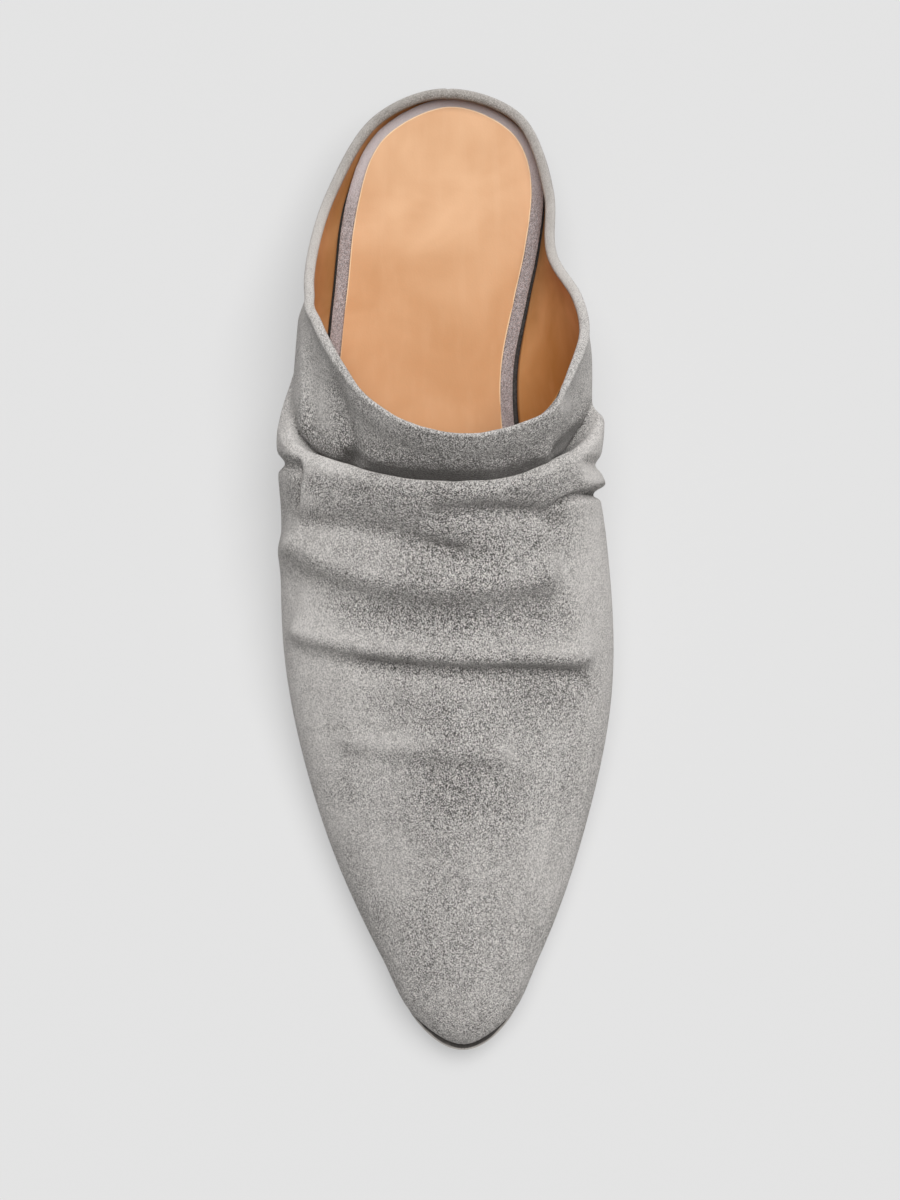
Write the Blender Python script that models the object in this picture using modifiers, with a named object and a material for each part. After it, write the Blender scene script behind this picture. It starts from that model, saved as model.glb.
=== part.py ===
"""Right-foot suede mule with a slouched vamp, a pointed toe and a low block heel, standing on its sole.

Tables and sizes are in millimetres. +Y runs to the heel, the toe points along -Y, +X is the inner
(medial) side of the foot and +Z is up. The origin is on the floor, under the middle of the shoe.
"""

from collections import namedtuple

import bmesh
import bpy
import numpy as np

MM = 0.001

# Driving sizes of the shoe
HEEL_HEIGHT = 20.0
TOE_SPRING = 7.0
OUTSOLE_THICKNESS = 3.5
INSOLE_THICKNESS = 4.2
SOCK_THICKNESS = 1.0
WALL_THICKNESS = 2.2
SEAT_GAP = 0.3

# Where the sole touches the floor, and where its climb to the heel ends
FLAT_FRONT_Y = -72.0
FLAT_BACK_Y = -14.0
CLIMB_END_Y = 100.0
TOE_TIP_Y = -132.0

# How far each layer's edge lies inside the line where the upper meets the sole
OUTSOLE_INSET = 0.2
TOE_WELT = 1.8
TOE_WELT_FROM_Y = -118.0
INSOLE_INSET = 2.7
INSOLE_TOE_MARGIN = 1.2
INSOLE_TOE_FROM_Y = -80.0
SOCK_MARGIN_HEEL = 1.2
SOCK_MARGIN_SIDE = 3.4
SOCK_MARGIN_FROM_Y = 127.0
SOCK_MARGIN_TO_Y = 100.0
HEEL_INSET = 1.6
HEEL_TAPER = 2.4
HEEL_BREAST_Y = 82.0

# Rounded edges, and how far short of its point a plate's end strip stops
OUTSOLE_EDGE_RADIUS = 0.6
INSOLE_EDGE_RADIUS = 1.2
EDGE_SEGMENTS = 2
EDGE_ANGLE = 50.0
END_STRIP = 0.1
SMOOTH_ANGLE = 40.0

# One row for each section of the upper, in order round the shoe from the heel along the outer side.
# A section climbs from the sole line (sole_x, sole_y) to the collar (rim_x, rim_y, rim_z). It leaves
# the sole by swell outwards and rise upwards, and it reaches the collar from the share back of the way
# to the sole and from drop below the collar.
Section = namedtuple("Section", "place sole_x sole_y rim_x rim_y rim_z swell rise back drop")
SECTIONS = (
    Section("heel back", 0.8, 133.7, -0.7, 133.5, 34.0, 1.8, 4.0, 0.0, 3.6),
    Section("heel corner, outer", -18.8, 125.3, -19.6, 126.2, 34.0, 1.8, 4.0, 0.0, 3.6),
    Section("heel side, outer", -30.0, 105.0, -32.6, 105.2, 37.5, 2.2, 5.5, 0.0, 5.0),
    Section("waist, outer", -33.9, 78.0, -38.4, 82.0, 52.0, 5.0, 14.0, 0.0, 11.5),
    Section("waist front, outer", -37.2, 46.0, -36.0, 67.2, 64.5, 12.0, 24.0, 0.2, 18.0),
    Section("joint, outer", -41.0, 8.0, -25.6, 50.0, 75.0, 16.0, 36.0, 0.25, 27.0),
    Section("forefoot, outer", -41.9, -30.0, -16.4, 42.2, 80.3, 13.5, 36.0, 0.22, 36.0),
    Section("toe side, outer", -32.8, -74.0, -9.2, 38.6, 83.0, 8.0, 33.0, 0.18, 42.0),
    Section("toe corner, outer", -17.5, -109.0, -4.6, 37.2, 83.7, 6.0, 31.0, 0.16, 45.0),
    Section("tip, outer", -8.5, -125.0, -1.0, 36.4, 84.0, 5.0, 30.5, 0.15, 46.0),
    Section("tip", 4.8, -132.5, 2.2, 36.0, 84.2, 4.5, 30.5, 0.15, 46.0),
    Section("tip, inner", 17.2, -124.9, 5.0, 35.9, 84.2, 5.0, 30.5, 0.15, 46.0),
    Section("toe corner, inner", 25.2, -109.0, 8.2, 36.0, 84.0, 6.0, 31.0, 0.16, 45.0),
    Section("toe side, inner", 36.9, -75.0, 12.4, 36.8, 83.0, 9.0, 33.0, 0.18, 42.0),
    Section("joint, inner", 42.2, -37.0, 19.2, 38.8, 81.0, 15.5, 36.0, 0.22, 36.0),
    Section("forefoot, inner", 36.4, 0.0, 27.4, 43.4, 77.6, 22.0, 36.0, 0.25, 28.0),
    Section("waist front, inner", 22.8, 34.0, 33.8, 52.6, 71.5, 32.0, 27.0, 0.05, 20.0),
    Section("waist, inner", 21.2, 55.0, 38.2, 64.2, 65.0, 26.0, 24.0, 0.0, 18.0),
    Section("waist back, inner", 24.8, 75.0, 36.2, 75.6, 57.0, 12.0, 20.0, 0.0, 15.0),
    Section("heel breast, inner", 27.8, 89.0, 29.9, 87.0, 46.5, 4.0, 11.0, 0.0, 9.0),
    Section("heel side, inner", 29.2, 106.0, 29.1, 104.8, 37.5, 1.4, 5.5, 0.0, 5.0),
    Section("heel corner, inner", 21.2, 125.2, 20.6, 126.2, 34.0, 1.4, 4.0, 0.0, 3.6),
)

# One row for each fold across the vamp. Its line lies at y on the middle of the foot and bows back by
# bow for each square millimetre to the side. It stands out by height, or sinks in where that is below
# zero, and spreads toe_width towards the toe and heel_width towards the heel.
Fold = namedtuple("Fold", "place y bow height toe_width heel_width")
CREASE = Fold("crease behind the roll", 27.0, 0.0100, -3.2, 3.5, 4.5)
FOLDS = (
    CREASE,
    Fold("slouched roll", 20.5, 0.0096, 4.6, 7.0, 5.0),
    Fold("trough before the roll", 11.0, 0.0088, -1.6, 4.0, 4.0),
    Fold("second ridge", -0.5, 0.0060, 2.6, 5.5, 8.5),
    Fold("third ridge", -20.0, 0.0020, 2.2, 5.5, 8.5),
)
FOLD_CENTRE_X = -2.5
FOOT_AXIS_Z = 20.0
FOLD_FADE_LOW_Z = 8.0
FOLD_FADE_HIGH_Z = 34.0

# Facets: columns round the upper, rows from the sole to the crease and on to the collar, and cross
# strips along the plates. The upper's rows crowd towards the crease and a little towards the sole.
UPPER_COLUMNS = 64
ROWS_TO_CREASE = 24
ROWS_TO_COLLAR = 9
CROWD_AT_CREASE = 1.5
CROWD_AT_SOLE = 1.2
CREASE_TRIALS = 240
LOWEST_CREASE_SHARE = 0.45
CREASE_SMOOTHINGS = 3
OUTLINE_SAMPLES = 400
SOLE_STATIONS = 40
HEEL_STATIONS = 16


def smooth_step(low, high, value):
    """Goes from 0 at low to 1 at high with level ends."""
    share = np.clip((value - low) / (high - low), 0.0, 1.0)
    return share * share * (3.0 - 2.0 * share)


def sole_bottom(y):
    """Height of the sole's underside: toe spring, a flat tread, then the climb to the heel."""
    lift = np.clip((FLAT_FRONT_Y - y) / (FLAT_FRONT_Y - TOE_TIP_Y), 0.0, None)
    return TOE_SPRING * lift**2 + HEEL_HEIGHT * smooth_step(FLAT_BACK_Y, CLIMB_END_Y, y)


def sole_top(y):
    """Height of the outsole's upper face, on which upper and insole sit."""
    return sole_bottom(y) + OUTSOLE_THICKNESS


def closed_spline(knots, period, values, where):
    """Smooth closed curve through the rows of values at the knots, as cubic arcs with shared tangents."""
    gap_after = np.diff(np.append(knots, period))
    gap_before = np.roll(gap_after, 1)
    slope_after = (np.roll(values, -1, axis=0) - values) / gap_after[:, None]
    slope_before = np.roll(slope_after, 1, axis=0)
    weight = (gap_before / (gap_before + gap_after))[:, None]
    tangent = weight * slope_after + (1.0 - weight) * slope_before
    here = np.searchsorted(knots, where % period, side="right") - 1
    there = (here + 1) % len(knots)
    gap = gap_after[here][:, None]
    share = ((where % period) - knots[here])[:, None] / gap
    start = (1.0 + 2.0 * share) * (1.0 - share) ** 2 * values[here]
    start_pull = share * (1.0 - share) ** 2 * gap * tangent[here]
    end = share**2 * (3.0 - 2.0 * share) * values[there]
    end_pull = share**2 * (share - 1.0) * gap * tangent[there]
    return start + start_pull + end + end_pull


def sections_round(count):
    """The section table read at count even places round the shoe, one array for each column."""
    columns = np.array([row[1:] for row in SECTIONS])
    reach = np.linalg.norm(np.roll(columns[:, :4], -1, axis=0) - columns[:, :4], axis=1)
    knots = np.concatenate([[0.0], np.cumsum(reach)[:-1]])
    period = reach.sum()
    read = closed_spline(knots, period, columns, np.arange(count) * period / count)
    return Section("all", *read.T)


def outward_of(x, y):
    """Unit vectors in plan that point out of a closed line given in order heel, outer side, toe."""
    along_x = np.roll(x, -1) - np.roll(x, 1)
    along_y = np.roll(y, -1) - np.roll(y, 1)
    length = np.hypot(along_x, along_y)
    return along_y / length, -along_x / length


def behind_fold(fold, x, y):
    """Distance in plan behind a fold's line, towards the heel."""
    return y - fold.y - fold.bow * (x - FOLD_CENTRE_X) ** 2


def folded(x, y, z):
    """Moves points of the upper out from the foot's axis by the folds, which fade out down the sides."""
    outer, inner = edges(0.0)
    away_x = x - (outer(y) + inner(y)) / 2.0
    away_z = z - FOOT_AXIS_Z
    reach = np.hypot(away_x, away_z)
    out = np.zeros_like(x)
    for fold in FOLDS:
        behind = behind_fold(fold, x, y)
        width = np.where(behind < 0.0, fold.toe_width, fold.heel_width)
        out += fold.height * np.exp(-((behind / width) ** 2))
    out *= smooth_step(FOLD_FADE_LOW_Z, FOLD_FADE_HIGH_Z, z)
    return x + out * away_x / reach, y, z + out * away_z / reach


def along_sections(cut, share):
    """Points at each share of the way from sole to collar, one row of shares for each row of points."""
    out_x, out_y = outward_of(cut.sole_x, cut.sole_y)
    start = np.stack([cut.sole_x, cut.sole_y, sole_top(cut.sole_y) + SEAT_GAP])[:, None]
    leave = start + np.stack([out_x * cut.swell, out_y * cut.swell, cut.rise])[:, None]
    end = np.stack([cut.rim_x, cut.rim_y, cut.rim_z])[:, None]
    back_x = cut.back * (cut.sole_x - cut.rim_x)
    back_y = cut.back * (cut.sole_y - cut.rim_y)
    arrive = end + np.stack([back_x, back_y, -cut.drop])[:, None]
    first = (1.0 - share) ** 3 * start + 3.0 * share * (1.0 - share) ** 2 * leave
    last = 3.0 * share**2 * (1.0 - share) * arrive + share**3 * end
    return first + last


def crease_share(cut):
    """Share of the way at which each section crosses the crease behind the roll."""
    trial = np.linspace(0.0, 1.0, CREASE_TRIALS)[:, None] * np.ones(UPPER_COLUMNS)
    x, y, _ = along_sections(cut, trial)
    crossing = np.argmax(behind_fold(CREASE, x, y) > 0.0, axis=0) / (CREASE_TRIALS - 1.0)
    share = np.maximum(crossing, LOWEST_CREASE_SHARE)
    for _ in range(CREASE_SMOOTHINGS):
        share = (np.roll(share, 1) + 2.0 * share + np.roll(share, -1)) / 4.0
    return share


def upper_grid():
    """Points of the upper's outer face: rows from the sole to the collar, columns round the shoe."""
    cut = sections_round(UPPER_COLUMNS)
    crease = crease_share(cut)
    to_crease = np.linspace(0.0, 1.0, ROWS_TO_CREASE + 1)[:-1, None]
    to_collar = np.linspace(0.0, 1.0, ROWS_TO_COLLAR + 1)[:, None]
    below = crease * (1.0 - (1.0 - to_crease) ** CROWD_AT_CREASE) ** CROWD_AT_SOLE
    above = crease + (1.0 - crease) * to_collar
    x, y, z = along_sections(cut, np.concatenate([below, above]))
    return np.stack(folded(x, y, z), axis=-1)


def edges(inset):
    """The sole line drawn in by inset, as two functions that give x on the outer and inner side at y."""
    cut = sections_round(OUTLINE_SAMPLES)
    out_x, out_y = outward_of(cut.sole_x, cut.sole_y)
    by = inset(cut.sole_y) if callable(inset) else inset
    x = cut.sole_x - out_x * by
    y = cut.sole_y - out_y * by
    toe = int(np.argmin(y))
    outer_x, outer_y = x[: toe + 1][::-1], y[: toe + 1][::-1]
    inner_x, inner_y = np.append(x[toe:], x[0]), np.append(y[toe:], y[0])

    def outer(at):
        return np.interp(at, outer_y, outer_x)

    def inner(at):
        return np.interp(at, inner_y, inner_x)

    outer.span = inner.span = (y.min(), y.max())
    return outer, inner


def stations(low, high, count, round_low=True):
    """Places from low to high, closer together towards the ends that are round."""
    turn = np.linspace(0.0 if round_low else np.pi / 2.0, np.pi, count)
    share = (np.cos(turn[0]) - np.cos(turn)) / (np.cos(turn[0]) + 1.0)
    return low + (high - low) * share


def named_object(name, mesh, material):
    shoe = bpy.data.collections["suede_mule"]
    piece = bpy.data.objects.new(name, mesh)
    shoe.objects.link(piece)
    mesh.materials.append(material)
    return piece


def finish_mesh(name, bm):
    bmesh.ops.recalc_face_normals(bm, faces=bm.faces)
    mesh = bpy.data.meshes.new(name)
    bm.to_mesh(mesh)
    bm.free()
    mesh.shade_smooth()
    mesh.set_sharp_from_angle(angle=np.radians(SMOOTH_ANGLE))
    return mesh


def slab(name, places, low_edges, high_edges, bottom, top):
    """A plate that follows the sole: cross strips at the places, between two heights and two outlines."""
    bm = bmesh.new()
    rings = []
    for y in places:
        corners = (
            (low_edges[0](y), bottom(y)),
            (low_edges[1](y), bottom(y)),
            (high_edges[1](y), top(y)),
            (high_edges[0](y), top(y)),
        )
        rings.append([bm.verts.new((x * MM, y * MM, z * MM)) for x, z in corners])
    for ring, following in zip(rings, rings[1:]):
        for side in range(4):
            turn = (side + 1) % 4
            bm.faces.new((ring[side], ring[turn], following[turn], following[side]))
    bm.faces.new(rings[0])
    bm.faces.new(rings[-1])
    return finish_mesh(name, bm)


def round_edges(piece, radius):
    bevel = piece.modifiers.new("rounded edges", "BEVEL")
    bevel.width = radius * MM
    bevel.segments = EDGE_SEGMENTS
    bevel.limit_method = "ANGLE"
    bevel.angle_limit = np.radians(EDGE_ANGLE)


def principled(name, colour, roughness):
    material = bpy.data.materials.new(name)
    material.use_nodes = True
    shader = material.node_tree.nodes["Principled BSDF"]
    shader.inputs["Base Color"].default_value = (*colour, 1.0)
    shader.inputs["Roughness"].default_value = roughness
    shader.inputs["Metallic"].default_value = 0.0
    return material


def make_outsole(material):
    def inset(y):
        towards_toe = smooth_step(TOE_WELT_FROM_Y, TOE_TIP_Y, y)
        return OUTSOLE_INSET - (OUTSOLE_INSET + TOE_WELT) * towards_toe

    outline = edges(inset)
    low, high = outline[0].span
    places = stations(low + END_STRIP, high - END_STRIP, SOLE_STATIONS)
    mesh = slab("outsole", places, outline, outline, sole_bottom, sole_top)
    round_edges(named_object("outsole", mesh, material), OUTSOLE_EDGE_RADIUS)


def make_heel(material):
    top_edges = edges(HEEL_INSET)
    foot_edges = edges(HEEL_INSET + HEEL_TAPER)
    high = foot_edges[0].span[1] - END_STRIP
    places = stations(HEEL_BREAST_Y, high, HEEL_STATIONS, round_low=False)
    mesh = slab("heel", places, foot_edges, top_edges, lambda y: 0.0, lambda y: sole_bottom(y) - SEAT_GAP)
    named_object("heel", mesh, material)


def insole_inset(y):
    """The insole's edge keeps further in towards the toe, where the wall leans over it."""
    return INSOLE_INSET + INSOLE_TOE_MARGIN * smooth_step(INSOLE_TOE_FROM_Y, TOE_TIP_Y, y)


def make_insole(material):
    outline = edges(insole_inset)
    low, high = outline[0].span
    places = stations(low + END_STRIP, high - END_STRIP, SOLE_STATIONS)

    def bottom(y):
        return sole_top(y) + SEAT_GAP

    def top(y):
        return bottom(y) + INSOLE_THICKNESS

    mesh = slab("insole", places, outline, outline, bottom, top)
    round_edges(named_object("insole", mesh, material), INSOLE_EDGE_RADIUS)


def make_sock(material):
    def inset(y):
        towards_side = smooth_step(SOCK_MARGIN_FROM_Y, SOCK_MARGIN_TO_Y, y)
        return insole_inset(y) + SOCK_MARGIN_HEEL + (SOCK_MARGIN_SIDE - SOCK_MARGIN_HEEL) * towards_side

    outline = edges(inset)
    low, high = outline[0].span
    places = stations(low + END_STRIP, high - END_STRIP, SOLE_STATIONS)

    def bottom(y):
        return sole_top(y) + INSOLE_THICKNESS + 2.0 * SEAT_GAP

    def top(y):
        return bottom(y) + SOCK_THICKNESS

    mesh = slab("sock", places, outline, outline, bottom, top)
    named_object("sock", mesh, material)


def make_upper(material):
    grid = upper_grid() * MM
    rows, columns = grid.shape[:2]
    bm = bmesh.new()
    points = [[bm.verts.new(point) for point in row] for row in grid]
    for row in range(rows - 1):
        for column in range(columns):
            beside = (column + 1) % columns
            corners = (points[row][column], points[row][beside])
            bm.faces.new((*corners, points[row + 1][beside], points[row + 1][column]))
    piece = named_object("upper", finish_mesh("upper", bm), material)
    wall = piece.modifiers.new("wall", "SOLIDIFY")
    wall.thickness = WALL_THICKNESS * MM
    wall.offset = -1.0


def main():
    for old in list(bpy.data.objects):
        bpy.data.objects.remove(old)
    shoe = bpy.data.collections.new("suede_mule")
    bpy.context.scene.collection.children.link(shoe)
    make_outsole(principled("dark rubber", (0.09, 0.08, 0.07), 0.7))
    make_heel(principled("dark heel block", (0.09, 0.08, 0.07), 0.6))
    make_insole(principled("insole suede", (0.36, 0.34, 0.34), 0.95))
    make_sock(principled("tan sock leather", (0.76, 0.43, 0.22), 0.5))
    make_upper(principled("grey suede", (0.36, 0.35, 0.34), 0.95))


main()
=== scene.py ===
"""Looks of a right-foot suede mule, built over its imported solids.

Tables and sizes are in millimetres, in the frame of the solids: +Y runs to the heel, the toe points
along -Y, +X is the inner side of the foot, +Z is up and the shoe stands on z = 0.
"""

from collections import namedtuple

import bpy
import numpy as np
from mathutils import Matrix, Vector


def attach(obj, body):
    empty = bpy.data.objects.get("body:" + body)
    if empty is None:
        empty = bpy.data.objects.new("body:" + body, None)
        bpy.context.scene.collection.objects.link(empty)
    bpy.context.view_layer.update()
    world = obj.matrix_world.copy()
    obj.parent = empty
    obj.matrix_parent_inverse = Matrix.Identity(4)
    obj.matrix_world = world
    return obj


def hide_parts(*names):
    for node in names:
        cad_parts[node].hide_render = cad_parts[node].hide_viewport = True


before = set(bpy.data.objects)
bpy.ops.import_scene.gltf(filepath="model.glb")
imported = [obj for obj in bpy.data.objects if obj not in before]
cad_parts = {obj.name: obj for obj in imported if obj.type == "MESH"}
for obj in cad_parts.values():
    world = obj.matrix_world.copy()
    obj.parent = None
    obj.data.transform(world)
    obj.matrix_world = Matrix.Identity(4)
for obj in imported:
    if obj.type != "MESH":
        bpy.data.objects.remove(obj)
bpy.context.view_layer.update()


# Outsole: one thin plate of dark rubber under the whole shoe, with a spring at the toe and a climb to
# the heel. It is cut along the last's edge line and glued on. From above only its lip at the toe shows.
MM = 0.001
HEEL_HEIGHT = 20.0
TOE_SPRING = 7.0
OUTSOLE_THICKNESS = 3.5
FLAT_FRONT_Y = -72.0
FLAT_BACK_Y = -14.0
CLIMB_END_Y = 100.0
TOE_TIP_Y = -132.0
OUTSOLE_INSET = 0.2
TOE_WELT = 1.8
TOE_WELT_FROM_Y = -118.0
OUTSOLE_EDGE_RADIUS = 0.7
PALE_RIM_WIDTH = 0.65
PALE_RIM_FULL = 0.39
OUTLINE_SAMPLES = 1600
NEAREST_STEP = 2
PLATE_STATIONS = 150
PLATE_ACROSS = 36
END_STRIP = 0.05

# The last that the shoe is built on: one row for each of its sections, in order round the shoe from the
# heel along the outer side. The upper's wall climbs from the edge line (sole_x, sole_y) to the collar
# (rim_x, rim_y, rim_z). It leaves the sole by swell outwards and rise upwards, and it reaches the collar
# from the share back of the way to the sole and from drop below the collar.
Section = namedtuple("Section", "place sole_x sole_y rim_x rim_y rim_z swell rise back drop")
LAST = (
    Section("heel back", 0.8, 133.7, -0.7, 133.5, 34.0, 1.8, 4.0, 0.0, 3.6),
    Section("heel corner, outer", -18.8, 125.3, -19.6, 126.2, 34.0, 1.8, 4.0, 0.0, 3.6),
    Section("heel side, outer", -30.0, 105.0, -32.6, 105.2, 37.5, 2.2, 5.5, 0.0, 5.0),
    Section("waist, outer", -33.9, 78.0, -38.4, 82.0, 52.0, 5.0, 14.0, 0.0, 11.5),
    Section("waist front, outer", -37.2, 46.0, -36.0, 67.2, 64.5, 12.0, 24.0, 0.2, 18.0),
    Section("joint, outer", -41.0, 8.0, -25.6, 50.0, 75.0, 16.0, 36.0, 0.25, 27.0),
    Section("forefoot, outer", -41.9, -30.0, -16.4, 42.2, 80.3, 13.5, 36.0, 0.22, 36.0),
    Section("toe side, outer", -32.8, -74.0, -9.2, 38.6, 83.0, 8.0, 33.0, 0.18, 42.0),
    Section("toe corner, outer", -17.5, -109.0, -4.6, 37.2, 83.7, 6.0, 31.0, 0.16, 45.0),
    Section("tip, outer", -8.5, -125.0, -1.0, 36.4, 84.0, 5.0, 30.5, 0.15, 46.0),
    Section("tip", 4.8, -132.5, 2.2, 36.0, 84.2, 4.5, 30.5, 0.15, 46.0),
    Section("tip, inner", 17.2, -124.9, 5.0, 35.9, 84.2, 5.0, 30.5, 0.15, 46.0),
    Section("toe corner, inner", 25.2, -109.0, 8.2, 36.0, 84.0, 6.0, 31.0, 0.16, 45.0),
    Section("toe side, inner", 36.9, -75.0, 12.4, 36.8, 83.0, 9.0, 33.0, 0.18, 42.0),
    Section("joint, inner", 42.2, -37.0, 19.2, 38.8, 81.0, 15.5, 36.0, 0.22, 36.0),
    Section("forefoot, inner", 36.4, 0.0, 27.4, 43.4, 77.6, 22.0, 36.0, 0.25, 28.0),
    Section("waist front, inner", 22.8, 34.0, 33.8, 52.6, 71.5, 32.0, 27.0, 0.05, 20.0),
    Section("waist, inner", 21.2, 55.0, 38.2, 64.2, 65.0, 26.0, 24.0, 0.0, 18.0),
    Section("waist back, inner", 24.8, 75.0, 36.2, 75.6, 57.0, 12.0, 20.0, 0.0, 15.0),
    Section("heel breast, inner", 27.8, 89.0, 29.9, 87.0, 46.5, 4.0, 11.0, 0.0, 9.0),
    Section("heel side, inner", 29.2, 106.0, 29.1, 104.8, 37.5, 1.4, 5.5, 0.0, 5.0),
    Section("heel corner, inner", 21.2, 125.2, 20.6, 126.2, 34.0, 1.4, 4.0, 0.0, 3.6),
)


def smooth_step(low, high, value):
    """Goes from 0 at low to 1 at high with level ends."""
    share = np.clip((value - low) / (high - low), 0.0, 1.0)
    return share * share * (3.0 - 2.0 * share)


def sole_bottom(y):
    """Height of the outsole's underside: toe spring, a flat tread, then the climb to the heel."""
    lift = np.clip((FLAT_FRONT_Y - y) / (FLAT_FRONT_Y - TOE_TIP_Y), 0.0, None)
    return TOE_SPRING * lift**2 + HEEL_HEIGHT * smooth_step(FLAT_BACK_Y, CLIMB_END_Y, y)


def sole_top(y):
    """Height of the outsole's upper face, on which upper and insole sit."""
    return sole_bottom(y) + OUTSOLE_THICKNESS


def last_sections(way):
    """The last's table read at each share of the way round, by cubic arcs that share their tangents."""
    rows = np.array([section[1:] for section in LAST])
    gap = np.linalg.norm(np.roll(rows[:, :4], -1, axis=0) - rows[:, :4], axis=1)
    before = np.roll(gap, 1)
    slope = (np.roll(rows, -1, axis=0) - rows) / gap[:, None]
    weight = (before / (before + gap))[:, None]
    tangent = weight * slope + (1.0 - weight) * np.roll(slope, 1, axis=0)
    knots = np.concatenate([[0.0], np.cumsum(gap)[:-1]])
    place = (way % 1.0) * gap.sum()
    here = np.searchsorted(knots, place, side="right") - 1
    there = (here + 1) % len(rows)
    reach = gap[here][:, None]
    share = (place - knots[here])[:, None] / reach
    start = (1.0 + 2.0 * share) * (1.0 - share) ** 2 * rows[here]
    start_pull = share * (1.0 - share) ** 2 * reach * tangent[here]
    end = share**2 * (3.0 - 2.0 * share) * rows[there]
    end_pull = share**2 * (share - 1.0) * reach * tangent[there]
    return Section("all", *(start + start_pull + end + end_pull).T)


def outward_of(x, y):
    """Unit vectors in plan that point out of a closed line given in order heel, outer side, toe."""
    along_x = np.roll(x, -1) - np.roll(x, 1)
    along_y = np.roll(y, -1) - np.roll(y, 1)
    length = np.hypot(along_x, along_y)
    return along_y / length, -along_x / length


def edge_line(inset):
    """The last's edge line drawn in by inset(y): closed arrays of x and y in plan."""
    cut = last_sections(np.arange(OUTLINE_SAMPLES) / OUTLINE_SAMPLES)
    out_x, out_y = outward_of(cut.sole_x, cut.sole_y)
    by = inset(cut.sole_y)
    return cut.sole_x - out_x * by, cut.sole_y - out_y * by


def plate(inset, bottom, top, radius):
    """A plate with round edges. At each place y along the shoe a ring crosses the underside from the outer
    to the inner edge and comes back over the top. Nearer to the outline than radius both faces draw back
    by the height of a quarter circle. Returns the rings and each point's distance from the outline."""
    line_x, line_y = edge_line(inset)
    toe = int(np.argmin(line_y))
    turn = np.linspace(0.0, np.pi, PLATE_STATIONS)
    low, high = line_y.min() + END_STRIP, line_y.max() - END_STRIP
    y = low + (high - low) * (1.0 - np.cos(turn)) / 2.0
    outer = np.interp(y, line_y[: toe + 1][::-1], line_x[: toe + 1][::-1])
    inner = np.interp(y, np.append(line_y[toe:], line_y[0]), np.append(line_x[toe:], line_x[0]))
    across = (1.0 + np.sin(np.linspace(-0.5, 0.5, PLATE_ACROSS) * np.pi)) / 2.0
    x = outer[:, None] * (1.0 - across) + inner[:, None] * across
    y = np.repeat(y[:, None], PLATE_ACROSS, axis=1)
    nearest = np.full(x.shape, np.inf)
    for edge_x, edge_y in zip(line_x[::NEAREST_STEP], line_y[::NEAREST_STEP]):
        nearest = np.minimum(nearest, (x - edge_x) ** 2 + (y - edge_y) ** 2)
    inside = np.sqrt(nearest)
    drawn_back = radius - np.sqrt(radius**2 - np.clip(radius - inside, 0.0, radius) ** 2)
    under = np.stack([x, y, bottom(y) + drawn_back], axis=-1)
    over = np.stack([x, y, top(y) - drawn_back], axis=-1)
    rings = np.concatenate([under, over[:, ::-1]], axis=1)
    return rings, np.concatenate([inside, inside[:, ::-1]], axis=1)


def rings_piece(name, rings, ends="filled", **point_values):
    """A mesh through rings of points in order, each ring closed on itself. The first and last ring are
    filled, or joined to each other. point_values become attributes of the points."""
    rows, columns = rings.shape[:2]
    number = np.arange(rows * columns).reshape(rows, columns)
    last = rows if ends == "joined" else rows - 1
    here = number[np.arange(last)]
    there = number[(np.arange(last) + 1) % rows]
    beside_here, beside_there = np.roll(here, -1, axis=1), np.roll(there, -1, axis=1)
    faces = np.stack([here, there, beside_there, beside_here], axis=-1).reshape(-1, 4).tolist()
    if ends == "filled":
        faces += [number[0].tolist(), number[-1][::-1].tolist()]
    mesh = bpy.data.meshes.new(name)
    mesh.from_pydata((rings.reshape(-1, 3) * MM).tolist(), [], faces)
    for value_name, values in point_values.items():
        attribute = mesh.attributes.new(value_name, "FLOAT", "POINT")
        attribute.data.foreach_set("value", np.ascontiguousarray(values, dtype=np.float32).ravel())
    mesh.shade_smooth()
    piece = bpy.data.objects.new(name, mesh)
    bpy.context.scene.collection.objects.link(piece)
    return piece


def linear(code):
    """An sRGB hex colour as linear red, green, blue and alpha."""
    value = np.array([int(code[at : at + 2], 16) for at in (1, 3, 5)]) / 255.0
    value = np.where(value <= 0.04045, value / 12.92, ((value + 0.055) / 1.055) ** 2.4)
    return (*value.tolist(), 1.0)


def per_mm(size):
    """Scale of a noise, in object space, whose grains are about size millimetres wide."""
    return 1.0 / (size * MM)


def add_node(material, kind, inputs=None, **settings):
    """Adds one shader node. settings are its properties, and inputs are its sockets' values or the outputs
    that are linked to them."""
    made = material.node_tree.nodes.new("ShaderNode" + kind)
    for name, value in settings.items():
        setattr(made, name, value)
    for socket, value in (inputs or {}).items():
        if isinstance(value, bpy.types.NodeSocket):
            material.node_tree.links.new(value, made.inputs[socket])
        else:
            made.inputs[socket].default_value = value
    return made


def new_material(name, shader_values):
    """A node material whose Principled shader has the given constant socket values."""
    material = bpy.data.materials.new(name)
    material.use_nodes = True
    shader = material.node_tree.nodes["Principled BSDF"]
    for socket, value in shader_values.items():
        shader.inputs[socket].default_value = value
    return material, shader


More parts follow.
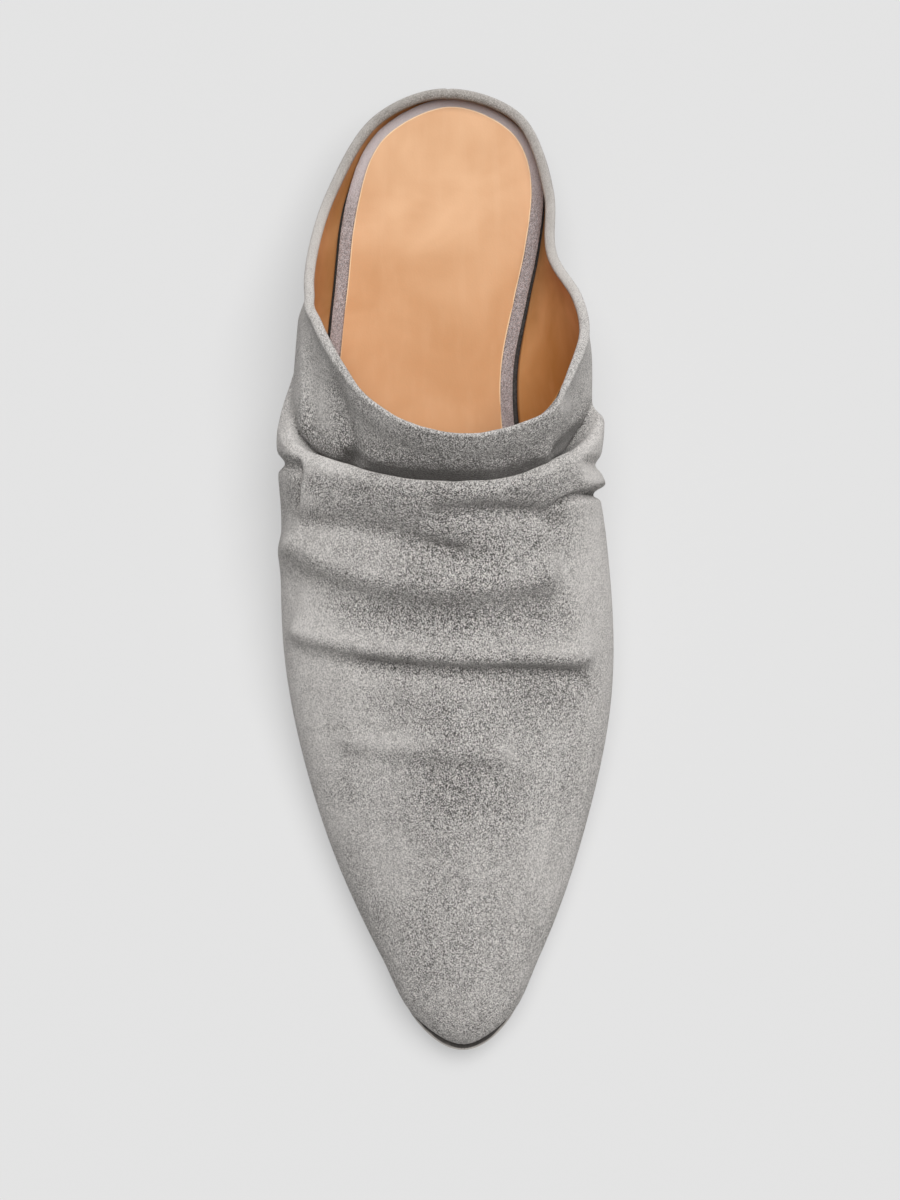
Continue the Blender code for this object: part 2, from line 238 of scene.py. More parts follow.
def moulded_rubber(name, dark, light, pale_rim=None):
    """Matt moulded rubber: an even dark tone with a fine grit and faint rubbed patches, which keeps the
    edge from looking like flat paint. Close to the outline the edge is paler."""
    grit_size, rub_size, relief_depth = 0.7, 9.0, 0.1
    material, shader = new_material(name, {"Roughness": 0.72, "Specular IOR Level": 0.35})
    where = add_node(material, "TexCoord").outputs["Object"]
    grit = add_node(material, "TexNoise", {"Vector": where, "Scale": per_mm(grit_size), "Detail": 2.0})
    rub = add_node(material, "TexNoise", {"Vector": where, "Scale": per_mm(rub_size), "Detail": 3.0})
    both = add_node(material, "Math", {0: grit.outputs["Fac"], 1: rub.outputs["Fac"]}, operation="MULTIPLY")
    share = add_node(material, "MapRange", {"Value": both.outputs[0], "From Min": 0.1, "From Max": 0.45})
    tone = add_node(
        material, "Mix", {0: share.outputs[0], 6: linear(dark), 7: linear(light)}, data_type="RGBA"
    )
    if pale_rim:
        inside = add_node(material, "Attribute", attribute_name="inside")
        edge = add_node(
            material,
            "MapRange",
            {"Value": inside.outputs["Fac"], "From Min": PALE_RIM_WIDTH, "From Max": PALE_RIM_FULL},
        )
        tone = add_node(
            material, "Mix", {0: edge.outputs[0], 6: tone.outputs[2], 7: linear(pale_rim)}, data_type="RGBA"
        )
    relief = add_node(
        material, "Bump", {"Height": grit.outputs["Fac"], "Strength": 0.35, "Distance": relief_depth * MM}
    )
    material.node_tree.links.new(tone.outputs[2], shader.inputs["Base Color"])
    material.node_tree.links.new(relief.outputs[0], shader.inputs["Normal"])
    return material


def outsole_inset(y):
    """The outsole's edge lies under the upper, and comes out past it as a lip round the toe."""
    return OUTSOLE_INSET - (OUTSOLE_INSET + TOE_WELT) * smooth_step(TOE_WELT_FROM_Y, TOE_TIP_Y, y)


rings, inside = plate(outsole_inset, sole_bottom, sole_top, OUTSOLE_EDGE_RADIUS)
outsole = rings_piece("outsole_plate", rings, inside=inside)
rubber = moulded_rubber("moulded_taupe_rubber", dark="#2B2826", light="#5A5552", pale_rim="#ABA6A1")
outsole.data.materials.append(rubber)
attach(outsole, "root")
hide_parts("outsole")


# Heel: a low block under the heel seat, covered and dyed dark. Its wall draws in a little towards the
# floor, its breast is cut straight across, and its edges are broken with a small round.
HEEL_INSET = 1.6
HEEL_TAPER = 2.4
HEEL_BREAST_Y = 82.0
HEEL_EDGE_RADIUS = 0.7
HEEL_WALL_ROWS = 14
HEEL_EDGE_ROWS = 4
HEEL_OUTLINE_STEP = 4
BREAST_COLUMNS = 40
SEAT_GAP = 0.3


def heel_outline(inset):
    """The heel seat's line from the breast round the back, closed by the straight breast."""
    line_x, line_y = edge_line(lambda y: np.full_like(y, inset))
    toe = int(np.argmin(line_y))
    x, y = np.roll(line_x, -toe), np.roll(line_y, -toe)
    behind = y > HEEL_BREAST_Y
    x, y = x[behind][::HEEL_OUTLINE_STEP], y[behind][::HEEL_OUTLINE_STEP]
    share = np.linspace(0.0, 1.0, BREAST_COLUMNS)[1:-1]
    breast_x = x[-1] + (x[0] - x[-1]) * share
    return np.append(x, breast_x), np.append(y, np.full_like(share, HEEL_BREAST_Y))


def heel_rings():
    """Rings from the seat to the floor. The wall goes in a straight taper between the seat's line and the
    top piece's line, with quarter circles at both edges and level faces closed towards the middle."""
    seat_x, seat_y = heel_outline(HEEL_INSET)
    foot_x, foot_y = heel_outline(HEEL_INSET + HEEL_TAPER)
    way = np.linspace(0.0, 1.0, len(foot_x))
    foot_way = np.linspace(0.0, 1.0, len(seat_x))
    foot_x, foot_y = np.interp(foot_way, way, foot_x), np.interp(foot_way, way, foot_y)
    turn = np.linspace(0.0, np.pi / 2.0, HEEL_EDGE_ROWS)
    lower = HEEL_EDGE_RADIUS * (1.0 - np.cos(turn))
    lower_in = HEEL_EDGE_RADIUS * (1.0 - np.sin(turn))
    seat_z = sole_bottom(seat_y) - SEAT_GAP
    straight = np.linspace(0.0, 1.0, HEEL_WALL_ROWS)[1:-1]
    wall = HEEL_EDGE_RADIUS + (seat_z.min() - 2.0 * HEEL_EDGE_RADIUS) * straight
    depth = np.concatenate([lower_in, np.zeros_like(wall), lower_in[::-1]])[:, None]
    level = np.concatenate([lower, wall, seat_z.min() - lower[::-1]])[:, None] / seat_z.min()
    x = foot_x + (seat_x - foot_x) * level
    y = foot_y + (seat_y - foot_y) * level
    out_x, out_y = outward_of(seat_x, seat_y)
    x, y = x - out_x * depth, y - out_y * depth
    return np.stack([x, y, level * seat_z], axis=-1)[::-1]


heel = rings_piece("heel_block", heel_rings())
heel.data.materials.append(moulded_rubber("dyed_heel_cover", dark="#3F3B38", light="#6B6661"))
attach(heel, "root")
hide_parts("heel")


# Insole: a footbed board with thin foam, wrapped in grey suede that is pulled round its edge and glued
# underneath. It lies loose in the lined upper, and its round edge shows as a rim about the sock.
INSOLE_THICKNESS = 4.2
INSOLE_INSET = 2.7
INSOLE_TOE_MARGIN = 1.2
INSOLE_TOE_FROM_Y = -80.0
INSOLE_HEEL_REACH = 1.0
INSOLE_HEEL_FROM_Y = 98.0
INSOLE_HEEL_TO_Y = 118.0
INSOLE_HEEL_PAINTED_LIGHT = 0.75
INSOLE_WORN = 0.6
INSOLE_EDGE_RADIUS = 1.0
WORN_TONE = "#B5ABA0"


def suede(name, shade, body, tip, sheen):
    """Brushed suede: short fibres that stand up in tufts, so the eye sees pepper-and-salt grains, patches
    where the nap lies one way or the other, and a pale bloom where it is seen edge on. Real tufts are
    about 0.15 mm wide; they are drawn at 0.21 mm to show at the picture's size. Deep in a crease the grains
    drown in the shade. Where it is worn the tufts are short, so the grain is faint and the tone warmer."""
    tuft_size, stroke_size, patch_size = 0.21, 2.6, 16.0
    most_rubbed, hollow_share, relief_depth = 0.4, -0.8, 0.35
    values = {
        "Roughness": 0.95,
        "Specular IOR Level": 0.12,
        "Sheen Weight": sheen,
        "Sheen Roughness": 0.45,
        "Sheen Tint": linear("#F2EEEA"),
    }
    material, shader = new_material(name, values)
    where = add_node(material, "TexCoord").outputs["Object"]
    tufts = add_node(material, "TexVoronoi", {"Vector": where, "Scale": per_mm(tuft_size)})
    brushed = add_node(material, "Mapping", {"Vector": where, "Scale": (1.0, 0.55, 1.0)})
    strokes = add_node(
        material,
        "TexNoise",
        {"Vector": brushed.outputs[0], "Scale": per_mm(stroke_size), "Detail": 3.0, "Roughness": 0.6},
    )
    patches = add_node(
        material,
        "TexNoise",
        {"Vector": brushed.outputs[0], "Scale": per_mm(patch_size), "Detail": 3.0, "Distortion": 0.6},
    )
    # The nap attribute holds painted shade and light, with some brushed patches of the nap.
    nap_and_painted_light = add_node(material, "Attribute", attribute_name="nap")
    grain = add_node(
        material, "MapRange", {"Value": tufts.outputs["Color"], "From Min": 0.2, "From Max": 0.8}
    )
    centred = add_node(material, "Math", {0: grain.outputs[0], 1: 0.5}, operation="SUBTRACT")
    roots = add_node(
        material,
        "MapRange",
        {"Value": nap_and_painted_light.outputs["Fac"], "From Min": -0.4, "From Max": 0.25, "To Min": 2.9, "To Max": 0.9},
    )
    in_crease = add_node(
        material,
        "MapRange",
        {"Value": nap_and_painted_light.outputs["Fac"], "From Min": -0.9, "From Max": -0.5, "To Min": 0.35, "To Max": 1.0},
    )
    roots = add_node(
        material, "Math", {0: roots.outputs[0], 1: in_crease.outputs[0]}, operation="MULTIPLY"
    )
    worn = add_node(material, "Attribute", attribute_name="worn")
    pile_left = add_node(material, "MapRange", {"Value": worn.outputs["Fac"], "To Min": 1.0, "To Max": 0.4})
    roots = add_node(
        material, "Math", {0: roots.outputs[0], 1: pile_left.outputs[0]}, operation="MULTIPLY"
    )
    depth = add_node(
        material, "Math", {0: centred.outputs[0], 1: roots.outputs[0], 2: 0.5}, operation="MULTIPLY_ADD"
    )
    drift = add_node(
        material,
        "MapRange",
        {"Value": strokes.outputs["Fac"], "From Min": 0.3, "From Max": 0.7, "To Min": -0.08, "To Max": 0.08},
    )
    cloud = add_node(
        material,
        "MapRange",
        {"Value": patches.outputs["Fac"], "From Min": 0.3, "From Max": 0.7, "To Min": -0.11, "To Max": 0.11},
    )
    tone = add_node(material, "Math", {0: depth.outputs[0], 1: drift.outputs[0]}, operation="ADD")
    tone = add_node(material, "Math", {0: tone.outputs[0], 1: cloud.outputs[0]}, operation="ADD")
    # Adds the nap attribute's painted shade and light to the tone.
    tone = add_node(material, "Math", {0: tone.outputs[0], 1: nap_and_painted_light.outputs["Fac"]}, operation="ADD")
    dark_part = add_node(material, "MapRange", {"Value": tone.outputs[0], "From Min": -0.1, "From Max": 0.5})
    light_part = add_node(material, "MapRange", {"Value": tone.outputs[0], "From Min": 0.5, "From Max": 1.1})
    lower = add_node(
        material, "Mix", {0: dark_part.outputs[0], 6: linear(shade), 7: linear(body)}, data_type="RGBA"
    )
    colour = add_node(
        material, "Mix", {0: light_part.outputs[0], 6: lower.outputs[2], 7: linear(tip)}, data_type="RGBA"
    )
    rubbed = add_node(material, "Math", {0: worn.outputs["Fac"], 1: most_rubbed}, operation="MULTIPLY")
    colour = add_node(
        material, "Mix", {0: rubbed.outputs[0], 6: colour.outputs[2], 7: linear(WORN_TONE)}, data_type="RGBA"
    )
    pile = add_node(
        material,
        "Math",
        {0: tufts.outputs["Distance"], 1: hollow_share, 2: strokes.outputs["Fac"]},
        operation="MULTIPLY_ADD",
    )
    relief = add_node(
        material, "Bump", {"Height": pile.outputs[0], "Strength": 1.0, "Distance": relief_depth * MM}
    )
    material.node_tree.links.new(colour.outputs[2], shader.inputs["Base Color"])
    material.node_tree.links.new(relief.outputs[0], shader.inputs["Normal"])
    return material


def insole_inset(y):
    """The insole's edge keeps further in towards the toe, where the wall leans over it, and less at the
    heel."""
    at_toe = INSOLE_TOE_MARGIN * smooth_step(INSOLE_TOE_FROM_Y, TOE_TIP_Y, y)
    return INSOLE_INSET + at_toe - INSOLE_HEEL_REACH * smooth_step(INSOLE_HEEL_FROM_Y, INSOLE_HEEL_TO_Y, y)


def insole_bottom(y):
    """Height of the insole's underside, a small gap above the outsole."""
    return sole_top(y) + SEAT_GAP


def insole_top(y):
    """Height of the insole's upper face, on which the sock is glued."""
    return insole_bottom(y) + INSOLE_THICKNESS


rings, _ = plate(insole_inset, insole_bottom, insole_top, INSOLE_EDGE_RADIUS)
# Painted light on the heel end of the rim, where the collar shades it.
nap = INSOLE_HEEL_PAINTED_LIGHT * smooth_step(INSOLE_HEEL_FROM_Y, INSOLE_HEEL_TO_Y, rings[..., 1])
insole = rings_piece("insole_footbed", rings, nap=nap, worn=np.full_like(nap, INSOLE_WORN))
wrapping = suede("grey_wrapping_suede", shade="#7A7378", body="#B9B0B4", tip="#E2DBE0", sheen=0.3)
insole.data.materials.append(wrapping)
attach(insole, "root")
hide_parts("insole")


# Sock: a thin sheet of smooth tan leather, cut to shape and glued on the insole. Its cut edge shows as a
# fine pale line, and it is plain all over.
SOCK_THICKNESS = 1.0
SOCK_MARGIN_HEEL = 2.6
SOCK_MARGIN_SIDE = 3.4
SOCK_MARGIN_FROM_Y = 127.0
SOCK_MARGIN_TO_Y = 100.0
SOCK_EDGE_RADIUS = 0.3
CUT_EDGE_WIDTH = 0.4
CUT_EDGE_FULL = 0.24
# Painted shade on the sock: darker from the heel towards the throat, which shades its front.
SOCK_SHADED_FROM_Y = 120.0
SOCK_SHADED_TO_Y = 20.0


def smooth_leather(name, deep, body, pale, roughness, shaded_from, shaded_to, cut_edge=None):
    """Smooth vegetable-tanned leather: a warm even tan with soft clouds of dye, fine pores and hair-thin
    scratches, and a satin face. Pores are drawn at 0.6 mm to show. Painted shade darkens it from one y to
    another along the shoe, where the shoe shades it, and the cut edge is undyed and paler."""
    cloud_size, pore_size, scratch_size, relief_depth = 26.0, 0.6, 3.0, 0.1
    material, shader = new_material(name, {"Roughness": roughness, "Specular IOR Level": 0.3})
    where = add_node(material, "TexCoord").outputs["Object"]
    clouds = add_node(
        material, "TexNoise", {"Vector": where, "Scale": per_mm(cloud_size), "Detail": 3.0, "Distortion": 0.4}
    )
    pores = add_node(material, "TexVoronoi", {"Vector": where, "Scale": per_mm(pore_size)})
    drawn = add_node(
        material, "Mapping", {"Vector": where, "Rotation": (0.0, 0.0, 0.4), "Scale": (1.0, 0.08, 1.0)}
    )
    scratches = add_node(
        material, "TexNoise", {"Vector": drawn.outputs[0], "Scale": per_mm(scratch_size), "Detail": 4.0}
    )
    share = add_node(material, "MapRange", {"Value": clouds.outputs["Fac"], "From Min": 0.3, "From Max": 0.7})
    along = add_node(material, "SeparateXYZ", {0: where})
    # Painted shade: the tone darkens from one y to the other.
    unshaded = add_node(
        material,
        "MapRange",
        {"Value": along.outputs[1], "From Min": shaded_to * MM, "From Max": shaded_from * MM, "To Min": 0.3},
    )
    share = add_node(material, "Math", {0: share.outputs[0], 1: unshaded.outputs[0]}, operation="MULTIPLY")
    base = add_node(
        material, "Mix", {0: share.outputs[0], 6: linear(deep), 7: linear(body)}, data_type="RGBA"
    )
    fine = add_node(
        material,
        "MapRange",
        {"Value": scratches.outputs["Fac"], "From Min": 0.5, "From Max": 0.75, "To Max": 0.12},
    )
    colour = add_node(
        material, "Mix", {0: fine.outputs[0], 6: base.outputs[2], 7: linear(pale)}, data_type="RGBA"
    )
    if cut_edge:
        inside = add_node(material, "Attribute", attribute_name="inside")
        raw = add_node(
            material,
            "MapRange",
            {"Value": inside.outputs["Fac"], "From Min": CUT_EDGE_WIDTH, "From Max": CUT_EDGE_FULL},
        )
        colour = add_node(
            material, "Mix", {0: raw.outputs[0], 6: colour.outputs[2], 7: linear(cut_edge)}, data_type="RGBA"
        )
    height = add_node(
        material, "Math", {0: pores.outputs["Distance"], 1: scratches.outputs["Fac"]}, operation="ADD"
    )
    relief = add_node(
        material, "Bump", {"Height": height.outputs[0], "Strength": 0.12, "Distance": relief_depth * MM}
    )
    material.node_tree.links.new(colour.outputs[2], shader.inputs["Base Color"])
    material.node_tree.links.new(relief.outputs[0], shader.inputs["Normal"])
    return material


def sock_inset(y):
    """The sock's edge keeps inside the insole's, by less round the heel than at the sides."""
    margin = SOCK_MARGIN_SIDE - SOCK_MARGIN_HEEL
    return insole_inset(y) + SOCK_MARGIN_HEEL + margin * smooth_step(SOCK_MARGIN_FROM_Y, SOCK_MARGIN_TO_Y, y)


def sock_bottom(y):
    """Height of the sock's underside, a small gap above the insole."""
    return insole_top(y) + SEAT_GAP


def sock_top(y):
    """Height of the sock's upper face."""
    return sock_bottom(y) + SOCK_THICKNESS


rings, inside = plate(sock_inset, sock_bottom, sock_top, SOCK_EDGE_RADIUS)
sock = rings_piece("sock_sheet", rings, inside=inside)
leather = smooth_leather(
    "tan_sock_leather",
    deep="#CB9667",
    body="#E6B78C",
    pale="#EBC29B",
    roughness=0.5,
    shaded_from=SOCK_SHADED_FROM_Y,
    shaded_to=SOCK_SHADED_TO_Y,
    cut_edge="#F2D3AC",
)
sock.data.materials.append(leather)
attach(sock, "root")
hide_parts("sock")


# Upper: one piece of brushed grey suede, lasted over the form, closed by a seam at the back of the heel
# and turned in over the collar. It is cut long, so it slouches into a roll and folds across the instep.
SUEDE_DEPTH = 1.0
SUEDE_COLUMNS = 400
SEAM_COLUMNS = 18
SEAM_REACH = 0.006
SEAM_CLEAR = 0.0063
ROWS_TO_CREASE = 132
ROWS_TO_COLLAR = 44
BACK_FACE_STEP = 4
COLLAR_RADIUS_HEEL = 1.4
COLLAR_RADIUS_FRONT = 0.75
COLLAR_ROUND_ROWS = 9
COLLAR_MARGIN = 1.6
COLLAR_MARGIN_SHARES = (0.5, 1.0)
COLLAR_MARGIN_FROM = -8.0
FRONT_RIM_Y = 44.0
SIDE_RIM_Y = 62.0
TUCK_DEPTH = 1.1
TUCK_REACH = 2.8
COLLAR_PROUD = 0.5
COLLAR_PROUD_WIDTH = 3.0
COLLAR_SWELL = 1.0
COLLAR_SWELL_AT = -4.6
COLLAR_SWELL_WIDTH = 5.0
WORN_FROM_Y = 58.0
WORN_TO_Y = 92.0
SEAM_X = 0.4
SEAM_FROM_Y = 110.0
SEAM_WIDTH = 0.55
SEAM_DEPTH = 0.2

# The vamp is slouched into one big roll that lies over the band below the collar. The roll's rear edge
# is at ROLL_EDGE_Y on the middle of the foot and bows back by a share of the square of the distance to
# the outer side, or of its cube to the inner side. It hangs over by ROLL_REACH. The places at which the
# roll leans over, stands up and has its crease are distances behind the line where its fold starts.
ROLL_EDGE_Y = 22.9
ROLL_BOW_OUTER = 0.0077
ROLL_BOW_INNER = 0.00027
ROLL_REACH = 4.4
LEAN_AT = -1.2
LEAN_TOE_WIDTH = 9.0
LEAN_HEEL_WIDTH = 2.3
LIFT_AT = -3.4
LIFT_HEEL_WIDTH = 3.0
CREASE_DEPTH = 3.4
CREASE_AT = 2.4
CREASE_TOE_WIDTH = 2.0
CREASE_HEEL_WIDTH = 2.6
CROWD_AT_CREASE = 1.5
CROWD_AT_SOLE = 1.15
CREASE_TRIALS = 300
LOWEST_CREASE_SHARE = 0.45
CREASE_SMOOTHINGS = 60
FOLD_FADE_LOW_Z = 6.0
FOLD_FADE_HIGH_Z = 26.0
CREASE_END_OUTER_Y = (34.0, 44.0)
CREASE_END_INNER_Y = (39.0, 47.0)
ROLL_END_OUTER_Y = (40.0, 62.0)
ROLL_END_INNER_Y = (34.0, 50.0)
VAMP_BEFORE_ROLL = -13.0
VAMP_BEFORE_ROLL_WIDTH = 4.0

# Places along the roll, by x: how far it leans to the heel, how high it stands and how wide it falls away
# towards the toe.
Roll = namedtuple("Roll", "x lean lift toe_width")
ROLL = (
    Roll(-46.0, 6.6, 3.0, 13.0),
    Roll(-34.0, 7.6, 4.4, 13.0),
    Roll(-18.0, 8.2, 4.2, 10.0),
    Roll(2.0, 8.2, 3.6, 6.0),
    Roll(20.0, 8.2, 3.6, 5.5),
    Roll(34.0, 7.6, 3.8, 8.0),
    Roll(44.0, 6.6, 2.4, 8.0),
)

# One row for each wrinkle, as a curve in plan from its outer end through its middle to its inner end. It
# stands out by height, or sinks in where that is below zero, and it spreads its own width to either side.
# Those on the vamp keep off the band behind the roll, and those on the band keep off the vamp.
Wrinkle = namedtuple("Wrinkle", "place part x0 y0 x1 y1 x2 y2 height toe_width heel_width")
WRINKLES = (
    Wrinkle("trough before the roll", "vamp", -9.0, 14.0, 14.0, 16.2, 34.0, 12.8, -2.6, 3.4, 2.6),
    Wrinkle("slanting trough", "vamp", -42.0, 13.6, -16.0, 10.4, 8.0, 2.4, -1.9, 2.8, 3.8),
    Wrinkle("dent before the roll", "vamp", -10.0, 7.0, 0.0, 5.2, 11.0, 3.4, -2.2, 2.4, 2.8),
    Wrinkle("second fold", "vamp", -46.0, 12.0, -8.0, -1.8, 33.0, 2.6, 5.2, 6.0, 9.0),
    Wrinkle("third fold", "vamp", -45.0, -14.0, -4.0, -22.4, 43.0, -22.0, 4.4, 3.8, 9.0),
    Wrinkle("hollow below the third fold", "vamp", -30.0, -24.6, 9.0, -27.0, 40.0, -28.2, -3.2, 3.6, 2.0),
    Wrinkle("third fold's sharp end", "vamp", 9.0, -25.4, 21.0, -26.0, 33.0, -27.2, -1.6, 1.6, 1.0),
    Wrinkle("fourth fold", "vamp", -34.0, -46.0, -3.4, -49.0, 20.0, -51.0, 1.8, 3.0, 8.0),
    Wrinkle("outer pinch", "vamp", -60.0, 31.0, -46.0, 29.8, -37.0, 24.6, -2.4, 1.5, 2.0),
    Wrinkle("outer lobe", "vamp", -39.6, 33.0, -38.8, 23.0, -39.6, 13.0, 2.0, 1.0, 4.0),
    Wrinkle("outer tuck", "vamp", -40.8, 33.0, -40.0, 23.0, -40.8, 13.0, -1.6, 0.9, 0.9),
    Wrinkle("inner pinch", "vamp", 36.0, 29.4, 42.0, 29.6, 54.0, 29.0, -1.8, 1.8, 1.8),
    Wrinkle("inner pleat", "vamp", 34.0, 22.6, 41.0, 24.2, 54.0, 23.8, 1.8, 1.4, 3.0),
    Wrinkle("inner tuck", "vamp", 26.6, 15.2, 36.4, 21.0, 50.0, 22.2, -3.2, 1.4, 0.8),
    Wrinkle("outer trough of the band", "band", -32.6, 56.0, -27.4, 38.0, -25.2, 27.0, -1.9, 2.6, 2.6),
    Wrinkle("outer edge of the band", "band", -38.6, 33.0, -38.5, 54.0, -38.2, 76.0, 1.6, 1.3, 3.0),
    Wrinkle("inner ridge of the band", "band", 25.0, 26.0, 29.2, 37.0, 33.6, 49.0, 1.9, 1.5, 5.0),
    Wrinkle("inner hollow under the roll", "band", 24.0, 30.0, 33.0, 34.6, 40.0, 42.0, -1.8, 2.4, 4.0),
)
WRINKLE_STEPS = 24
WRINKLE_END = 7.0
WRINKLE_END_MOST = 0.4
FOLD_ROUND = 1.2
PART_FADE = 2.5
HIDDEN_SPREAD = 1.3
HIDDEN_CREASE_DEPTH = 3.8
HIDDEN_CREASE_WIDTH = 4.5

# Painted shade and light on the suede: how strongly it follows the way that the face tips, standing for the
# light from above the heel, the tip at which none is painted, and how much painted shade each millimetre of
# a trough's depth gets and the band gets where it goes in under the roll.
PAINTED_LIGHT_BY_FACING = 0.42
PAINTED_LIGHT_EVEN_TIP = -0.34
PAINTED_SHADE_IN_HOLLOWS = 0.09
CREASE_SHADE = 0.8
CREASE_SHADE_FROM = (-1.0, 3.5)
CREASE_SHADE_TO = 9.5
CREASE_SHADE_WIDTH = 4.2
PAINTED_SHADE_DARKEST = -0.6
PAINTED_LIGHT_PALEST = 0.36

# Spots where the suede's tone is made lighter or darker: middle, reach and how much lighter or darker it
# lies.
# Some are brushed patches of the nap; most are painted shade in hollows and below folds, and painted light
# on crests, on the flanks and on the collar's sides.
NapAndShadeSpot = namedtuple("NapAndShadeSpot", "place x y reach_x reach_y tone")
NAP_AND_SHADE_SPOTS = (
    NapAndShadeSpot("shade before the roll", 6.0, 18.0, 26.0, 4.5, -0.12),
    NapAndShadeSpot("middle of the vamp", 4.0, -3.0, 18.0, 15.0, -0.21),
    NapAndShadeSpot("inner flank of the vamp", 42.0, -10.0, 9.0, 40.0, 0.22),
    NapAndShadeSpot("outer flank of the vamp", -41.0, -30.0, 15.0, 40.0, 0.3),
    NapAndShadeSpot("dark sweep over the toes", 7.0, -62.0, 15.0, 8.0, -0.14),
    NapAndShadeSpot("hollow before the second fold", 3.0, 6.2, 11.0, 3.4, -0.24),
    NapAndShadeSpot("outer side of the second fold", -14.0, 3.4, 8.0, 5.0, 0.11),
    NapAndShadeSpot("outer end of the second fold", -23.0, -11.0, 14.0, 4.6, -0.14),
    NapAndShadeSpot("toe side of the second fold", 0.0, -10.4, 21.0, 4.4, -0.23),
    NapAndShadeSpot("inner end of the second fold", 27.0, 9.5, 6.0, 4.0, -0.18),
    NapAndShadeSpot("outer crest of the third fold", -14.0, -20.6, 9.0, 2.6, 0.1),
    NapAndShadeSpot("inner crest of the third fold", 29.0, -21.2, 7.0, 2.2, 0.11),
    NapAndShadeSpot("inner hollow before the third fold", 28.0, -12.6, 7.0, 4.0, -0.1),
    NapAndShadeSpot("crease below the third fold", 13.0, -25.0, 11.0, 2.4, -0.18),
    NapAndShadeSpot("shade below the third fold", 26.0, -31.4, 11.0, 5.0, -0.32),
    NapAndShadeSpot("middle before the fourth fold", 2.0, -44.0, 9.0, 5.0, -0.08),
    NapAndShadeSpot("crest of the fourth fold", -9.0, -46.6, 13.0, 2.4, 0.12),
    NapAndShadeSpot("outer part of the fourth fold", -21.0, -49.0, 9.0, 3.0, 0.13),
    NapAndShadeSpot("inner end of the fourth fold", 15.0, -50.8, 6.0, 3.0, 0.12),
    NapAndShadeSpot("inner end of the dark sweep", 20.0, -64.0, 9.0, 6.0, -0.08),
    NapAndShadeSpot("light over the toes", 2.0, -81.0, 40.0, 12.0, 0.12),
    NapAndShadeSpot("tip of the toe", 4.0, -122.0, 15.0, 12.0, 0.2),
    NapAndShadeSpot("outer side of the toes", -15.0, -68.0, 9.0, 28.0, 0.11),
    NapAndShadeSpot("inner front of the toes", 14.0, -103.0, 9.0, 12.0, 0.1),
    NapAndShadeSpot("outer spot over the toes", -32.0, -61.0, 5.0, 3.4, -0.1),
    NapAndShadeSpot("outer edge of the toes", -31.0, -71.0, 6.0, 7.0, 0.14),
    NapAndShadeSpot("outer spot below the third fold", -32.0, -42.4, 6.0, 2.4, -0.12),
    NapAndShadeSpot("outer end of the roll", -41.0, 34.0, 8.0, 9.0, 0.22),
    NapAndShadeSpot("inner end of the roll", 41.0, 32.4, 6.5, 9.0, 0.24),
    NapAndShadeSpot("outer part of the roll's crest", -31.0, 27.6, 8.0, 2.6, 0.24),
    NapAndShadeSpot("inner part of the roll's crest", 28.0, 27.2, 7.0, 2.6, 0.18),
    NapAndShadeSpot("inner trough before the roll", 15.0, 19.2, 9.0, 2.4, -0.22),
    NapAndShadeSpot("below the outer end of the roll", -35.5, 25.0, 4.0, 3.0, -0.22),
    NapAndShadeSpot("outer lobe", -38.0, 19.0, 3.0, 2.4, 0.16),
    NapAndShadeSpot("outer pinch", -43.0, 28.4, 2.4, 2.8, -0.3),
    NapAndShadeSpot("outer tuck", -41.8, 22.0, 1.3, 6.0, -0.26),
    NapAndShadeSpot("inner side of the toes", 29.0, -82.0, 9.0, 22.0, 0.1),
    NapAndShadeSpot("band", 0.0, 30.0, 34.0, 6.0, -0.14),
    NapAndShadeSpot("outer foot of the band", -31.5, 31.6, 3.0, 3.0, 0.18),
    NapAndShadeSpot("outer side of the band", -34.0, 45.0, 4.4, 9.0, 0.17),
    NapAndShadeSpot("top of the band's outer trough", -29.6, 42.0, 2.6, 4.5, -0.12),
    NapAndShadeSpot("foot of the band's outer trough", -26.4, 35.0, 2.6, 4.5, -0.05),
    NapAndShadeSpot("outer front of the band", -20.0, 37.6, 5.0, 4.0, 0.12),
    NapAndShadeSpot("foot of the band's ridge", 28.0, 34.0, 2.4, 5.0, 0.14),
    NapAndShadeSpot("top of the band's ridge", 32.0, 44.0, 2.6, 5.0, 0.14),
    NapAndShadeSpot("inner side of the band", 37.0, 53.0, 5.0, 9.0, 0.12),
    NapAndShadeSpot("inner corner of the band", 34.0, 37.5, 4.6, 5.0, -0.2),
    NapAndShadeSpot("outer side of the collar", -37.0, 90.0, 8.0, 24.0, 0.38),
    NapAndShadeSpot("inner side of the collar", 34.0, 92.0, 8.0, 24.0, 0.38),
    NapAndShadeSpot("back of the collar", 0.0, 134.0, 30.0, 10.0, -0.16),
)


def along_walls(cut, share):
    """Points at each share of the way from sole to collar: a cubic arc that leaves the sole outwards and
    upwards and comes to the collar from the vamp."""
    out_x, out_y = outward_of(cut.sole_x, cut.sole_y)
    start = np.stack([cut.sole_x, cut.sole_y, sole_top(cut.sole_y) + SEAT_GAP])[:, None]
    leave = start + np.stack([out_x * cut.swell, out_y * cut.swell, cut.rise])[:, None]
    end = np.stack([cut.rim_x, cut.rim_y, cut.rim_z])[:, None]
    back_x = cut.back * (cut.sole_x - cut.rim_x)
    back_y = cut.back * (cut.sole_y - cut.rim_y)
    arrive = end + np.stack([back_x, back_y, -cut.drop])[:, None]
    first = (1.0 - share) ** 3 * start + 3.0 * share * (1.0 - share) ** 2 * leave
    last = 3.0 * share**2 * (1.0 - share) * arrive + share**3 * end
    return np.moveaxis(first + last, 0, -1)


def behind_roll(x, y):
    """Distance in plan behind the line on which the roll's fold starts, towards the heel."""
    bow = np.where(x < 0.0, ROLL_BOW_OUTER * x**2, ROLL_BOW_INNER * x**3)
    return y - (ROLL_EDGE_Y - ROLL_REACH) - bow


